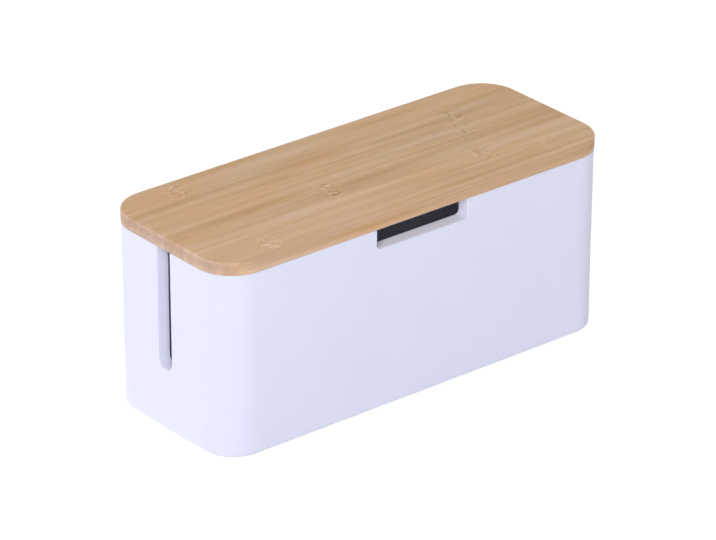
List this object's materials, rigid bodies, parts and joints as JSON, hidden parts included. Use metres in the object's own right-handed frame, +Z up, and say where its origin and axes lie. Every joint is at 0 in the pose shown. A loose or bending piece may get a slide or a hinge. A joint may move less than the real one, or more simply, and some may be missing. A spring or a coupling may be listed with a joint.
{
  "type": "cable management box",
  "caption": "Oblong box with rounded corners that hides a power strip, with cable slots in both ends, a notch in the front and a lift-off wooden lid.",
  "frame": {"origin": "middle of the plane that the feet stand on, under the middle of the box", "axes": "+X along the length towards the right-hand end slot, +Y from the notched front wall to the plain back wall, +Z up"},
  "size_m": [0.32, 0.125, 0.1375],
  "materials": {
    "tub_plastic": "smooth moulded, satin white",
    "lid_bamboo": "sanded bamboo strips under a thin matt lacquer",
    "foot_rubber": "moulded, matt"
  },
  "bodies": {
    "box": {"tub": "tub_plastic", "foot_front_left": "foot_rubber", "foot_front_right": "foot_rubber", "foot_back_left": "foot_rubber", "foot_back_right": "foot_rubber"},
    "lid": {"lid_board": "lid_bamboo"}
  },
  "joints": [
    {"name": "lid_lift", "type": "slide", "parent": "box", "child": "lid", "axis": [0, 0, 1], "range_m": [0, 0.12]}
  ]
}
